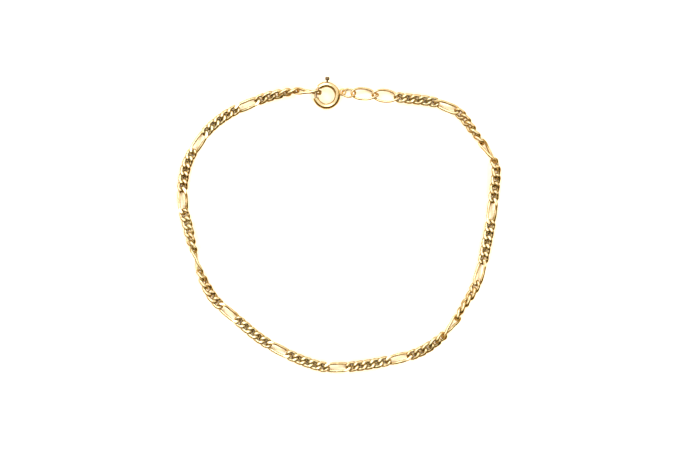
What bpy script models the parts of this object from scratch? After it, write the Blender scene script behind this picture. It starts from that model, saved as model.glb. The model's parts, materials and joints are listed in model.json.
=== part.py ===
"""Figaro link bracelet in yellow gold, closed on its spring ring and laid down in a loose loop.

Metres, +Z up. The bracelet lies on z = 0, the middle of its box is over the origin, and the clasp is
at the far side (+Y). The chain is walked link by link along a chosen route, from the clasp's tongue
round to the jump ring. Every link lies on the straight line between its two joints, where the inner
sides of neighbouring wires meet.
"""

from math import asin, cos, radians, sin, sqrt

import bmesh
import bpy
import numpy as np
from mathutils import Matrix, Vector

MM = 0.001

# Chain: sizes to the outside of the wire, pitches from joint to joint. The whole chain follows its width:
# a chain unit is a millimetre while the width is 2.10
CHAIN_WIDTH = 2.10 * MM
CHAIN_UNIT = CHAIN_WIDTH / 2.10
CHAIN_WIRE = 0.57 * CHAIN_UNIT
CURB_WIRE = 0.70 * CHAIN_UNIT
CHAIN_THICKNESS = 1.16 * CHAIN_UNIT
CURB_PITCH = 1.66 * CHAIN_UNIT
LONG_PITCH = 4.22 * CHAIN_UNIT
LINK_END = 0.80 * CHAIN_UNIT
SOLDER_OVERLAP = 0.07 * CHAIN_UNIT
LINK_GAP = 0.175 * CHAIN_UNIT
RUNS = 14
CURBS_PER_RUN = 5

# A run's first and last links are as thin as the long link where they pass through it. Between these
# shares of their half length, measured towards the run's middle, they grow to the run's own wire
GROWS_FROM = -0.2
GROWS_TO = 0.7

CURB_TWIST = radians(50)
LONG_TWIST = radians(60)
TWIST_HAND = -1

# The two wide flat links at the clasp end, and the jump ring
END_WIRE = 0.50 * MM
END_WIDTH = 2.90 * MM
END_PITCH = 4.25 * MM
END_GAP = 0.245 * MM
END_TWIST = radians(40)
JUMP_WIRE = 0.40 * MM
JUMP_OUTER = 3.00 * MM
JUMP_TILT = radians(50)
JUMP_HEADING = radians(-2)
JUMP_PLAY = 0.03 * MM

# Spring ring: a hollow tube bent to a C, with a soldered eye
RING_OUTER = 5.50 * MM
TUBE = 1.10 * MM
BORE = 0.76 * MM
RING_TILT = radians(9)
TUBE_FROM = radians(-167)
TUBE_TO = radians(133)
EYE_ANGLE = radians(12)
EYE_HOLE = 0.84 * MM
EYE_WIRE = 0.36 * MM
EYE_SINK = 0.05 * MM

# Bolt of the spring ring: a curved tongue in the tube and its trigger
TONGUE = 0.54 * MM
TONGUE_FROM = radians(74)
TONGUE_TO = radians(199)
TRIGGER_ANGLE = radians(87)
TRIGGER_TRAVEL = radians(50)
TRIGGER_NECK = 0.34 * MM
TRIGGER_HEAD = 0.88 * MM
TRIGGER_HEIGHT = 1.02 * MM
TRIGGER_HEAD_LENGTH = 0.66 * MM
TRIGGER_ROUNDING = 0.20 * MM
TRIGGER_FACE = 0.64 * MM
SLOT_CLEARANCE = 0.06 * MM
BORE_PAST_END = 0.15 * MM
TUBE_FACET_TILT = radians(15)
HOOK_ANGLE = radians(160)
HOOK_PLAY = 0.08 * MM

# Route of the chain, from the tongue anticlockwise to the jump ring, in millimetres: few points chosen by
# hand. Its first and last points are set by the clasp, and all are scaled until the links fit
CLASP_CENTRE = (-2.5, 25.8)
ROUTE_MM = [
    (-8.4, 26.7),
    (-11.4, 26.2),
    (-14.7, 25.4),
    (-17.8, 24.2),
    (-20.8, 22.9),
    (-23.6, 21.2),
    (-26.6, 18.6),
    (-28.8, 15.5),
    (-30.6, 11.9),
    (-31.4, 7.7),
    (-31.4, 3.4),
    (-30.4, -0.2),
    (-29.6, -3.8),
    (-28.5, -7.2),
    (-27.8, -9.9),
    (-25.8, -14.1),
    (-23.6, -16.6),
    (-20.2, -19.4),
    (-15.9, -23.0),
    (-11.6, -25.5),
    (-6.9, -27.6),
    (-2.6, -28.8),
    (2.2, -28.7),
    (7.3, -28.0),
    (12.4, -26.9),
    (16.3, -25.7),
    (19.7, -23.5),
    (22.7, -20.6),
    (24.6, -17.1),
    (26.8, -13.7),
    (28.3, -10.2),
    (29.3, -5.6),
    (30.2, -1.2),
    (30.8, 2.8),
    (31.2, 6.9),
    (31.6, 10.5),
    (31.2, 12.5),
    (30.2, 14.4),
    (28.5, 16.6),
    (26.4, 19.4),
    (24.2, 22.3),
    (21.2, 23.9),
    (17.3, 24.8),
    (12.8, 25.3),
    (10.0, 25.7),
    (7.7, 25.9),
]

# How the chain is rolled about its own line, in degrees, chosen by hand. A row holds a long link's number,
# its roll, and the roll at the middle of the run of curb links that follows it
ROLL_TABLE = [
    (1, -75, -145),
    (2, -180, -180),
    (3, -180, -180),
    (4, -178, -200),
    (5, -262, -336),
    (6, -360, -354),
    (7, -360, -357),
    (8, -360, -357),
    (9, -360, -375),
    (10, -420, -475),
    (11, -525, -535),
    (12, -540, -566),
    (13, -604, -668),
    (14, -706, -709),
    (15, -734, -739),
    (16, -744, -744),
]

# Fineness of the solids: a wire has 4 + 2 * resolution sides
LINK_END_POINTS = 5
SIDE_POINTS = 1
EYE_POINTS = 12
JUMP_POINTS = 16
TRIGGER_SIDES = 12
RING_STEP = radians(15)
WIRE_RESOLUTION = 1
TONGUE_RESOLUTION = 2
BORE_RESOLUTION = 2
TUBE_RESOLUTION = 4
SLOT_RESOLUTION = 0
FINE_END_POINTS = 24
FINE_SIDE_POINTS = 4
ROUTE_STEPS = 24

# The route's scale is halved in on between these, and then refined by walking the links along it
ROUTE_SCALES = (0.5, 2.0)
ROUTE_HALVINGS = 30
ROUTE_REFINES = 4
STEP_REFINES = 4

# A wire of six sides is drawn this much wider, to make up for metal that its flat sides leave out
SIX_SIDES = 1.04
SHARP_ANGLE = radians(50)
MERGE_DISTANCE = 0.0001 * MM


def clear_scene():
    """Removes every object of the open scene."""
    for obj in list(bpy.data.objects):
        bpy.data.objects.remove(obj)


def new_collection(name):
    """Makes a collection in the scene."""
    collection = bpy.data.collections.new(name)
    bpy.context.scene.collection.children.link(collection)
    return collection


def make_gold(name, colour, roughness):
    """Makes a polished metal material."""
    material = bpy.data.materials.new(name)
    material.use_nodes = True
    shader = material.node_tree.nodes["Principled BSDF"]
    shader.inputs["Base Color"].default_value = (*colour, 1.0)
    shader.inputs["Metallic"].default_value = 1.0
    shader.inputs["Roughness"].default_value = roughness
    material.diffuse_color = (*colour, 1.0)
    return material


def wire_mesh(name, points, diameter, resolution, closed, tilt=0.0, shares=None):
    """Bends a round wire along points and returns it as a closed mesh. shares thin it at each point."""
    curve = bpy.data.curves.new(name + "_curve", "CURVE")
    curve.dimensions = "3D"
    curve.bevel_depth = diameter / 2
    curve.bevel_resolution = resolution
    curve.use_fill_caps = True
    spline = curve.splines.new("POLY")
    spline.points.add(len(points) - 1)
    for spline_point, point, share in zip(spline.points, points, shares or [1.0] * len(points)):
        spline_point.co = (*point, 1.0)
        spline_point.tilt = tilt
        spline_point.radius = share
    spline.use_cyclic_u = closed
    guide = bpy.data.objects.new(name + "_guide", curve)
    bpy.context.scene.collection.objects.link(guide)
    graph = bpy.context.evaluated_depsgraph_get()
    mesh = bpy.data.meshes.new_from_object(guide.evaluated_get(graph))
    mesh.name = name
    bpy.data.objects.remove(guide)
    bpy.data.curves.remove(curve)
    weld_mesh(mesh)
    return mesh


def weld_mesh(mesh):
    """Joins the points of loose caps to the tube and turns every face outwards."""
    work = bmesh.new()
    work.from_mesh(mesh)
    bmesh.ops.remove_doubles(work, verts=work.verts, dist=MERGE_DISTANCE)
    bmesh.ops.recalc_face_normals(work, faces=work.faces)
    work.to_mesh(mesh)
    work.free()


def flatten_faces(mesh, thickness):
    """Cuts the highest and lowest sides of a link's wire to flats."""
    for vertex in mesh.vertices:
        vertex.co.z = min(max(vertex.co.z, -thickness / 2), thickness / 2)


def smooth(mesh):
    """Shades the round faces smooth and keeps the sharp edges."""
    mesh.shade_smooth()
    mesh.set_sharp_from_angle(angle=SHARP_ANGLE)


def place_mesh(name, mesh, matrix, collection, material, parent):
    """Makes the object that shows a mesh."""
    obj = bpy.data.objects.new(name, mesh)
    collection.objects.link(obj)
    obj.parent = parent
    obj.matrix_local = matrix
    if not mesh.materials:
        mesh.materials.append(material)
    smooth(mesh)
    return obj


def boolean_mesh(name, base, others):
    """Joins or cuts meshes. others holds pairs of an operation and a (mesh, matrix) pair."""
    collection = bpy.context.scene.collection
    body = bpy.data.objects.new(name, base)
    collection.objects.link(body)
    helpers = []
    for index, (operation, (mesh, matrix)) in enumerate(others):
        helper = bpy.data.objects.new(f"{name}_helper_{index}", mesh)
        collection.objects.link(helper)
        helper.matrix_world = matrix
        helpers.append(helper)
        modifier = body.modifiers.new(operation.lower(), "BOOLEAN")
        modifier.operation = operation
        modifier.solver = "EXACT"
        modifier.object = helper
    bpy.context.view_layer.update()
    graph = bpy.context.evaluated_depsgraph_get()
    result = bpy.data.meshes.new_from_object(body.evaluated_get(graph))
    result.name = name
    for obj in (body, *helpers):
        bpy.data.objects.remove(obj)
    keep_main_shell(result)
    return result


def keep_main_shell(mesh):
    """Removes the tiny closed pockets that crossing wires leave between them."""
    work = bmesh.new()
    work.from_mesh(mesh)
    left = set(work.verts)
    shells = []
    while left:
        shell = set()
        edge = {next(iter(left))}
        while edge:
            shell |= edge
            edge = {link.other_vert(vert) for vert in edge for link in vert.link_edges} - shell
        left -= shell
        shells.append(shell)
    main = max(shells, key=len)
    bmesh.ops.delete(work, geom=[vert for vert in work.verts if vert not in main], context="VERTS")
    work.to_mesh(mesh)
    work.free()


def link_line(half_length, half_width, end_length, twist, end_points, side_points):
    """Centre line of a link's wire: an oval whose two ends are twisted opposite ways about its length."""
    straight = half_length - end_length
    flat = []
    for side in (1, -1):
        for k in range(end_points):
            turn = radians(-90 + 180 * (k + 0.5) / end_points)
            flat.append((side * (straight + end_length * cos(turn)), side * half_width * sin(turn)))
        for k in range(side_points):
            share = (k + 0.5) / side_points
            flat.append((side * straight * (1 - 2 * share), side * half_width))
    line = []
    for x, y in flat:
        share = x / half_length
        turn = twist * share * sqrt(abs(share))
        line.append(Vector((x, y * cos(turn), y * sin(turn))))
    return line


def arc_line(radius, start, end, step):
    """Points on an arc in the XY plane."""
    count = max(2, round((end - start) / step)) + 1
    turns = [start + (end - start) * k / (count - 1) for k in range(count)]
    return [Vector((radius * cos(turn), radius * sin(turn), 0)) for turn in turns]


def circle_line(radius, count):
    """Points on a whole circle in the XY plane."""
    step = radians(360) / count
    return [Vector((radius * cos(k * step), radius * sin(k * step), 0)) for k in range(count)]


class LinkKind:
    """One kind of link: its mesh, its reach past a joint and its height when it lies rolled."""

    def __init__(self, name, wire, width, pitch, past_joint, end_length, twist, side_points):
        half_length = pitch / 2 + wire / 2 + past_joint
        half_width = (width - wire) / 2
        end = end_length or half_length
        self.wire = wire
        self.pitch = pitch
        outline = (half_length, half_width, end, TWIST_HAND * twist)
        self.half_length = half_length
        self.line = link_line(*outline, LINK_END_POINTS, side_points)
        self.mesh = wire_mesh(name, self.line, wire * SIX_SIDES, WIRE_RESOLUTION, closed=True)
        flatten_faces(self.mesh, CHAIN_THICKNESS)
        self.fine_line = link_line(*outline, FINE_END_POINTS, FINE_SIDE_POINTS)

    def rest_height(self, roll):
        """Height of the link's middle over the floor that it touches."""
        level = (CHAIN_THICKNESS - self.wire) / 2
        heights = []
        for point in self.fine_line:
            z = min(max(point.z, -level), level)
            heights.append(-(point.y * sin(roll) + z * cos(roll)))
        return max(heights) + self.wire / 2


def growing_mesh(name, thin, thick, towards):
    """A link that grows from a thin kind's wire to a thick kind's, towards +X (1) or -X (-1)."""
    line = []
    shares = []
    for near, far in zip(thin.line, thick.line):
        along = towards * near.x / thin.half_length
        weight = min(max((along - GROWS_FROM) / (GROWS_TO - GROWS_FROM), 0), 1)
        line.append(near.lerp(far, weight))
        shares.append((thin.wire + (thick.wire - thin.wire) * weight) / thick.wire)
    mesh = wire_mesh(name, line, thick.wire * SIX_SIDES, WIRE_RESOLUTION, closed=True, shares=shares)
    flatten_faces(mesh, CHAIN_THICKNESS)
    return mesh


def run_meshes(kinds):
    """The links of a run in order, in their own frames."""
    first = growing_mesh("curb_first", kinds["thin"], kinds["curb"], 1)
    last = growing_mesh("curb_last", kinds["thin"], kinds["curb"], -1)
    return [first, *[kinds["curb"].mesh] * (CURBS_PER_RUN - 2), last]


class Clasp:
    """Places on the clasp, in its own frame with the ring in the XY plane and its centre at zero."""

    def __init__(self):
        self.radius = (RING_OUTER - TUBE) / 2
        self.height = self.radius * sin(RING_TILT) + TUBE / 2
        self.tilt = Matrix.Rotation(RING_TILT, 4, "X")
        self.eye_radius = (EYE_HOLE + EYE_WIRE) / 2
        self.eye_reach = RING_OUTER / 2 - EYE_SINK + self.eye_radius
        self.eye = Vector((cos(EYE_ANGLE), sin(EYE_ANGLE), 0)) * self.eye_reach
        hook_reach = self.radius - TONGUE / 2 - HOOK_PLAY
        self.hook = Vector((cos(HOOK_ANGLE), sin(HOOK_ANGLE), 0)) * hook_reach
        self.jump_radius = (JUMP_OUTER - JUMP_WIRE) / 2

    def frame(self, centre):
        """Matrix from the clasp's own frame to the route's frame."""
        return Matrix.Translation((centre.x, centre.y, self.height)) @ self.tilt

    def jump_matrix(self, centre):
        """The jump ring leans on the floor and passes through the eye on its way down."""
        eye = self.frame(centre) @ self.eye
        middle_height = self.jump_radius * sin(JUMP_TILT) + JUMP_WIRE / 2
        drop = (middle_height - eye.z) / (self.jump_radius * sin(JUMP_TILT))
        back = self.jump_radius * cos(asin(drop))
        aside = self.jump_radius * drop * cos(JUMP_TILT)
        heading = Matrix.Rotation(JUMP_HEADING, 4, "Z")
        offset = heading @ Vector((back, -aside, 0))
        middle = Vector((eye.x + offset.x, eye.y + offset.y, middle_height))
        return Matrix.Translation(middle) @ heading @ Matrix.Rotation(-JUMP_TILT, 4, "X")

    def jump_joint(self, centre):
        """Just inside the jump ring's wire, where the last link pulls."""
        reach = self.jump_radius - JUMP_WIRE / 2 - JUMP_PLAY
        return self.jump_matrix(centre) @ Vector((reach, 0, 0))


def smooth_route(points):
    """Smooth curve through the points, as many short steps (Catmull-Rom)."""
    ends = [points[0] * 2 - points[1], *points, points[-1] * 2 - points[-2]]
    dense = []
    for before, start, end, after in zip(ends, ends[1:], ends[2:], ends[3:]):
        for k in range(ROUTE_STEPS):
            t = k / ROUTE_STEPS
            dense.append(
                start
                + (end - before) * (t / 2)
                + (before * 2 - start * 5 + end * 4 - after) * (t * t / 2)
                + (start * 3 - end * 3 + after - before) * (t**3 / 2)
            )
    dense.append(points[-1])
    return np.array([(point.x, point.y) for point in dense])


class Route:
    """The chain's line on the floor for one scale of the chosen points."""

    def __init__(self, scale, clasp):
        self.centre = Vector((*CLASP_CENTRE, 0)) * (scale * MM)
        start = (clasp.frame(self.centre) @ clasp.hook).to_2d()
        end = clasp.jump_joint(self.centre).to_2d()
        middle = [Vector(point) * (scale * MM) for point in ROUTE_MM]
        self.dense = smooth_route([start, *middle, end])
        steps = np.linalg.norm(np.diff(self.dense, axis=0), axis=1)
        self.reach = np.concatenate([[0], np.cumsum(steps)])

    def at(self, reach):
        """Point at a distance along the route."""
        x = np.interp(reach, self.reach, self.dense[:, 0])
        y = np.interp(reach, self.reach, self.dense[:, 1])
        return np.array([x, y])

    def walk(self, pitches):
        """Joints whose straight distances are the pitches."""
        reach = 0.0
        joints = [self.at(0.0)]
        for pitch in pitches:
            reach += pitch
            for _ in range(STEP_REFINES):
                reach += pitch - np.linalg.norm(self.at(reach) - joints[-1])
            joints.append(self.at(reach))
        return joints, reach


def fitted_route(pitches, clasp):
    """Scales the route until the last joint falls on its end."""
    low, high = ROUTE_SCALES
    for _ in range(ROUTE_HALVINGS):
        scale = (low + high) / 2
        route = Route(scale, clasp)
        spare = route.reach[-1] - sum(pitches)
        low, high = (scale, high) if spare < 0 else (low, scale)
    for _ in range(ROUTE_REFINES):
        joints, reach = route.walk(pitches)
        scale *= 1 + (reach - route.reach[-1]) / route.reach[-1]
        route = Route(scale, clasp)
    joints, _ = route.walk(pitches)
    return route, joints


def link_kinds():
    """The kinds of link. Neighbouring curb links sink into each other, and the others keep a gap."""
    sink = -SOLDER_OVERLAP / 2
    loose = SOLDER_OVERLAP / 2 + LINK_GAP
    wide = SOLDER_OVERLAP / 2 + END_GAP
    curb = LinkKind("curb", CURB_WIRE, CHAIN_WIDTH, CURB_PITCH, sink, LINK_END, CURB_TWIST, 0)
    thin = LinkKind("thin", CHAIN_WIRE, CHAIN_WIDTH, CURB_PITCH, sink, LINK_END, CURB_TWIST, 0)
    long = LinkKind(
        "long", CHAIN_WIRE, CHAIN_WIDTH, LONG_PITCH, loose, LINK_END, LONG_TWIST, SIDE_POINTS
    )
    end = LinkKind("end", END_WIRE, END_WIDTH, END_PITCH, wide, 0, END_TWIST, 0)
    return {"curb": curb, "thin": thin, "long": long, "end": end}


def chain_kinds():
    """The links of the chain in order, as (kind name, long link number, place in its run)."""
    order = []
    for number in range(1, RUNS + 1):
        order.append(("long", number, 0))
        for place in range(1, CURBS_PER_RUN + 1):
            order.append(("curb", number, place))
    order += [("end", RUNS + 1, 0), ("end", RUNS + 2, 0)]
    return order


def roll_at(number, place):
    """Roll of a link, read between the rows of the table. It turns the way that the links are twisted."""
    knots = []
    rolls = []
    for row_number, at_long, at_middle in ROLL_TABLE:
        knots += [row_number, row_number + 0.5]
        rolls += [at_long, at_middle]
    share = place / (CURBS_PER_RUN + 1)
    return TWIST_HAND * radians(np.interp(number + share, knots, rolls))


def link_matrix(start, end, roll):
    """Frame of a link that lies between two joints, rolled about the line between them."""
    along = (end - start).normalized()
    across = Vector((0, 0, 1)).cross(along).normalized()
    up = along.cross(across)
    side = across * cos(roll) + up * sin(roll)
    top = along.cross(side)
    matrix = Matrix((along, side, top)).transposed().to_4x4()
    matrix.translation = (start + end) / 2
    return matrix


def lay_chain(kinds, order, clasp):
    """Places every link. Returns the clasp's centre and a matrix for each link."""
    pitches = [kinds[kind].pitch for kind, _, _ in order]
    route, flat_joints = fitted_route(pitches, clasp)
    rolls = [roll_at(number, place) for _, number, place in order]
    rests = [kinds[kind].rest_height(roll) for (kind, _, _), roll in zip(order, rolls)]
    heights = [rests[0]]
    heights += [max(pair) for pair in zip(rests, rests[1:])]
    heights.append(clasp.jump_joint(route.centre).z)
    joints = [Vector((x, y, height)) for (x, y), height in zip(flat_joints, heights)]
    matrices = []
    for start, end, roll in zip(joints, joints[1:], rolls):
        matrices.append(link_matrix(start, end, roll))
    return route.centre, matrices


def build_clasp_ring(clasp):
    """Hollow C-shaped tube with the trigger's slot and the soldered eye."""
    arc = arc_line(clasp.radius, TUBE_FROM, TUBE_TO, RING_STEP)
    tube = wire_mesh("tube", arc, TUBE, TUBE_RESOLUTION, closed=False, tilt=TUBE_FACET_TILT)
    past = BORE_PAST_END / clasp.radius
    arc = arc_line(clasp.radius, TUBE_FROM - past, TUBE_TO + past, RING_STEP)
    bore = wire_mesh("bore", arc, BORE, BORE_RESOLUTION, closed=False)
    eye = wire_mesh("eye", circle_line(clasp.eye_radius, EYE_POINTS), EYE_WIRE, WIRE_RESOLUTION, closed=True)
    steps = [
        ("UNION", (eye, Matrix.Translation(clasp.eye))),
        ("DIFFERENCE", (bore, Matrix())),
        ("DIFFERENCE", (slot_mesh(clasp), Matrix())),
    ]
    return boolean_mesh("clasp_ring", tube, steps)


def slot_mesh(clasp):
    """Cutter of the trigger's slot: an arc of square section through the tube's outer wall."""
    width = TRIGGER_NECK + 2 * SLOT_CLEARANCE
    spare = asin(width / 2 / clasp.radius)
    wall_radius = clasp.radius + (BORE + TUBE) / 4
    line = arc_line(wall_radius, TRIGGER_ANGLE - TRIGGER_TRAVEL - spare, TRIGGER_ANGLE + spare, RING_STEP / 2)
    # The square's corners lie on a round of this diameter, turned by an eighth
    return wire_mesh("slot", line, width * sqrt(2), SLOT_RESOLUTION, closed=False, tilt=radians(45))


def build_clasp_bolt(clasp):
    """Curved tongue with the trigger standing on it."""
    arc = arc_line(clasp.radius, TONGUE_FROM, TONGUE_TO, RING_STEP)
    tongue = wire_mesh("tongue", arc, TONGUE, TONGUE_RESOLUTION, closed=False)
    return boolean_mesh("clasp_bolt", tongue, [("UNION", (trigger_mesh(clasp), trigger_matrix()))])


def trigger_matrix():
    """The trigger's own Z points outwards from the ring's centre."""
    outwards = Matrix.Rotation(TRIGGER_ANGLE, 4, "Z")
    return outwards @ Matrix.Rotation(radians(90), 4, "Y")


def trigger_mesh(clasp):
    """Neck and rounded head: a profile turned about the trigger's own Z."""
    top = RING_OUTER / 2 + TRIGGER_HEIGHT
    foot = top - TRIGGER_HEAD_LENGTH
    profile = [
        (0, top),
        (TRIGGER_FACE / 2, top),
        (TRIGGER_HEAD / 2, top - TRIGGER_ROUNDING),
        (TRIGGER_HEAD / 2, foot + TRIGGER_ROUNDING),
        (TRIGGER_FACE / 2, foot),
        (TRIGGER_NECK / 2, foot),
        (TRIGGER_NECK / 2, clasp.radius),
        (0, clasp.radius),
    ]
    mesh = bpy.data.meshes.new("trigger_profile")
    edges = [(k, k + 1) for k in range(len(profile) - 1)]
    mesh.from_pydata([(radius, 0, height) for radius, height in profile], edges, [])
    turned = bpy.data.objects.new("trigger_turned", mesh)
    bpy.context.scene.collection.objects.link(turned)
    screw = turned.modifiers.new("turn", "SCREW")
    screw.steps = TRIGGER_SIDES
    screw.render_steps = TRIGGER_SIDES
    screw.use_merge_vertices = True
    screw.merge_threshold = MERGE_DISTANCE
    bpy.context.view_layer.update()
    graph = bpy.context.evaluated_depsgraph_get()
    trigger = bpy.data.meshes.new_from_object(turned.evaluated_get(graph))
    bpy.data.objects.remove(turned)
    weld_mesh(trigger)
    return trigger


def centre_on_origin(objects, root):
    """Moves the root so that the middle of the box is over the origin and its floor is z = 0."""
    bpy.context.view_layer.update()
    graph = bpy.context.evaluated_depsgraph_get()
    low = Vector((1e9, 1e9, 1e9))
    high = -low
    for obj in objects:
        mesh = obj.evaluated_get(graph).to_mesh()
        for vertex in mesh.vertices:
            point = obj.matrix_world @ vertex.co
            low = Vector(map(min, low, point))
            high = Vector(map(max, high, point))
    root.location = (-(low.x + high.x) / 2, -(low.y + high.y) / 2, -low.z)
    bpy.context.view_layer.update()


def build_bracelet():
    """Builds every piece of the bracelet."""
    clear_scene()
    parts = new_collection("figaro_bracelet")
    chain_gold = make_gold("chain_gold", (0.95, 0.66, 0.28), 0.18)
    end_gold = make_gold("end_link_gold", (0.96, 0.72, 0.36), 0.16)
    clasp_gold = make_gold("clasp_gold", (0.93, 0.64, 0.27), 0.15)
    bolt_gold = make_gold("bolt_gold", (0.80, 0.58, 0.30), 0.25)
    root = bpy.data.objects.new("bracelet_frame", None)
    parts.objects.link(root)

    kinds = link_kinds()
    clasp = Clasp()
    order = chain_kinds()
    centre, matrices = lay_chain(kinds, order, clasp)

    meshes = run_meshes(kinds)
    objects = []
    for (kind, number, place), matrix in zip(order, matrices):
        if kind == "long":
            name = f"long_link_{number:02d}"
            objects.append(place_mesh(name, kinds[kind].mesh, matrix, parts, chain_gold, root))
        elif kind == "end":
            name = f"end_link_{number - RUNS:02d}"
            objects.append(place_mesh(name, kinds[kind].mesh, matrix, parts, end_gold, root))
    for run in range(1, RUNS + 1):
        links = [m for (kind, number, _), m in zip(order, matrices) if (kind, number) == ("curb", run)]
        base = links[0].inverted()
        placed = [(mesh, base @ matrix) for mesh, matrix in zip(meshes, links)]
        steps = [("UNION", link) for link in placed[1:]]
        mesh = boolean_mesh(f"curb_run_{run:02d}", meshes[0], steps)
        objects.append(place_mesh(mesh.name, mesh, links[0], parts, chain_gold, root))

    circle = circle_line(clasp.jump_radius, JUMP_POINTS)
    jump = wire_mesh("jump_ring", circle, JUMP_WIRE, WIRE_RESOLUTION, closed=True)
    objects.append(place_mesh("jump_ring", jump, clasp.jump_matrix(centre), parts, end_gold, root))

    ring_axis = bpy.data.objects.new("clasp_axis", None)
    parts.objects.link(ring_axis)
    ring_axis.parent = root
    ring_axis.matrix_local = clasp.frame(centre)
    ring = build_clasp_ring(clasp)
    objects.append(place_mesh("clasp_ring", ring, Matrix(), parts, clasp_gold, ring_axis))
    bolt = build_clasp_bolt(clasp)
    objects.append(place_mesh("clasp_bolt", bolt, Matrix(), parts, bolt_gold, ring_axis))
    centre_on_origin(objects, root)


build_bracelet()
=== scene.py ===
"""Looks of the figaro link bracelet: round polished wires, worn gold with painted shade between the wires,
pale floor, soft light and camera.

Every piece is drawn on the same walked line as the solids, in metres and in their frame.
"""

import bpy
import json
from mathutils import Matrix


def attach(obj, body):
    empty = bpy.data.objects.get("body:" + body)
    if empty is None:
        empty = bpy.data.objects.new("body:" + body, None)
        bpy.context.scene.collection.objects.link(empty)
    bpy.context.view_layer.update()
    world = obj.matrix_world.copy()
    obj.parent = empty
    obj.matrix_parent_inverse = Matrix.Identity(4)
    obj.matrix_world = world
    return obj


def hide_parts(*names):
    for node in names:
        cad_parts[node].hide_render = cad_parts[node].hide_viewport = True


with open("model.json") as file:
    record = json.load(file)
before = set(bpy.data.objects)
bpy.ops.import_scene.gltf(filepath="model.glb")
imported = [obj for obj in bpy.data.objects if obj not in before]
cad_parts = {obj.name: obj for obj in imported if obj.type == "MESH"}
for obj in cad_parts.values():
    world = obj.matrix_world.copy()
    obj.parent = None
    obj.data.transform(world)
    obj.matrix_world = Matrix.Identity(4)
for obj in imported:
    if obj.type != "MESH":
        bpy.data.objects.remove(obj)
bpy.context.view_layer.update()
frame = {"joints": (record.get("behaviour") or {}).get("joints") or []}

import json
from math import asin, cos, radians, sin, sqrt

import bmesh
import bpy
import numpy as np
from mathutils import Matrix, Vector

MM = 0.001

# Chain: sizes to the outside of the wire, pitches from joint to joint
CHAIN_WIRE = 0.57 * MM
CURB_WIRE = 0.70 * MM
CHAIN_WIDTH = 2.10 * MM
CHAIN_THICKNESS = 1.16 * MM
CURB_PITCH = 1.66 * MM
LONG_PITCH = 4.22 * MM
LINK_END = 0.80 * MM
RUNS = 14
CURBS_PER_RUN = 5
SOLDER_OVERLAP = 0.07 * MM
LINK_GAP = 0.175 * MM
CURB_TWIST = radians(50)
LONG_TWIST = radians(60)
TWIST_HAND = -1

# A run's first and last links grow from the long link's wire to the run's own wire between these shares
# of their half length, measured towards the run's middle
GROWS_FROM = -0.2
GROWS_TO = 0.7

# The two wide flat links at the clasp end, and the jump ring
END_WIRE = 0.50 * MM
END_WIDTH = 2.90 * MM
END_PITCH = 4.25 * MM
END_GAP = 0.245 * MM
END_TWIST = radians(40)
JUMP_WIRE = 0.40 * MM
JUMP_OUTER = 3.00 * MM
JUMP_TILT = radians(50)
JUMP_HEADING = radians(-2)
JUMP_PLAY = 0.03 * MM

# Spring ring: a hollow tube bent to a C, with a soldered eye
RING_OUTER = 5.50 * MM
TUBE = 1.10 * MM
BORE = 0.76 * MM
RING_TILT = radians(9)
TUBE_FROM = radians(-167)
TUBE_TO = radians(133)
TUBE_LIP = 0.06 * MM
BORE_PAST_END = 0.15 * MM
EYE_ANGLE = radians(12)
EYE_HOLE = 0.84 * MM
EYE_WIRE = 0.36 * MM
EYE_SINK = 0.05 * MM
SOLDER = (0.13 * MM, 0.34 * MM, 0.20 * MM)
SOLDER_TURN = radians(84)

# Bolt of the spring ring: a curved tongue in the tube and its trigger
TONGUE = 0.54 * MM
TONGUE_FROM = radians(74)
TONGUE_TO = radians(199)
TRIGGER_ANGLE = radians(87)
TRIGGER_TRAVEL = radians(50)
TRIGGER_NECK = 0.34 * MM
TRIGGER_HEAD = 0.88 * MM
TRIGGER_HEIGHT = 1.02 * MM
TRIGGER_HEAD_LENGTH = 0.66 * MM
TRIGGER_ROUNDING = 0.20 * MM
TRIGGER_FACE = 0.64 * MM
COLLAR_LENGTH = TRIGGER_ROUNDING / 4
COLLAR_HEIGHT = TRIGGER_ROUNDING / 6
TONGUE_ROUNDING = TONGUE * 0.4
SLOT_CLEARANCE = 0.06 * MM
SLOT_TIP = 0.02
SLOT_FROM = BORE / 4
HOOK_ANGLE = radians(160)
HOOK_PLAY = 0.08 * MM

# Route of the chain, from the tongue anticlockwise to the jump ring, in millimetres, as in the solids
CLASP_CENTRE = (-2.5, 25.8)
ROUTE_MM = [
    (-8.4, 26.7),
    (-11.4, 26.2),
    (-14.7, 25.4),
    (-17.8, 24.2),
    (-20.8, 22.9),
    (-23.6, 21.2),
    (-26.6, 18.6),
    (-28.8, 15.5),
    (-30.6, 11.9),
    (-31.4, 7.7),
    (-31.4, 3.4),
    (-30.4, -0.2),
    (-29.6, -3.8),
    (-28.5, -7.2),
    (-27.8, -9.9),
    (-25.8, -14.1),
    (-23.6, -16.6),
    (-20.2, -19.4),
    (-15.9, -23.0),
    (-11.6, -25.5),
    (-6.9, -27.6),
    (-2.6, -28.8),
    (2.2, -28.7),
    (7.3, -28.0),
    (12.4, -26.9),
    (16.3, -25.7),
    (19.7, -23.5),
    (22.7, -20.6),
    (24.6, -17.1),
    (26.8, -13.7),
    (28.3, -10.2),
    (29.3, -5.6),
    (30.2, -1.2),
    (30.8, 2.8),
    (31.2, 6.9),
    (31.6, 10.5),
    (31.2, 12.5),
    (30.2, 14.4),
    (28.5, 16.6),
    (26.4, 19.4),
    (24.2, 22.3),
    (21.2, 23.9),
    (17.3, 24.8),
    (12.8, 25.3),
    (10.0, 25.7),
    (7.7, 25.9),
]

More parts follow.
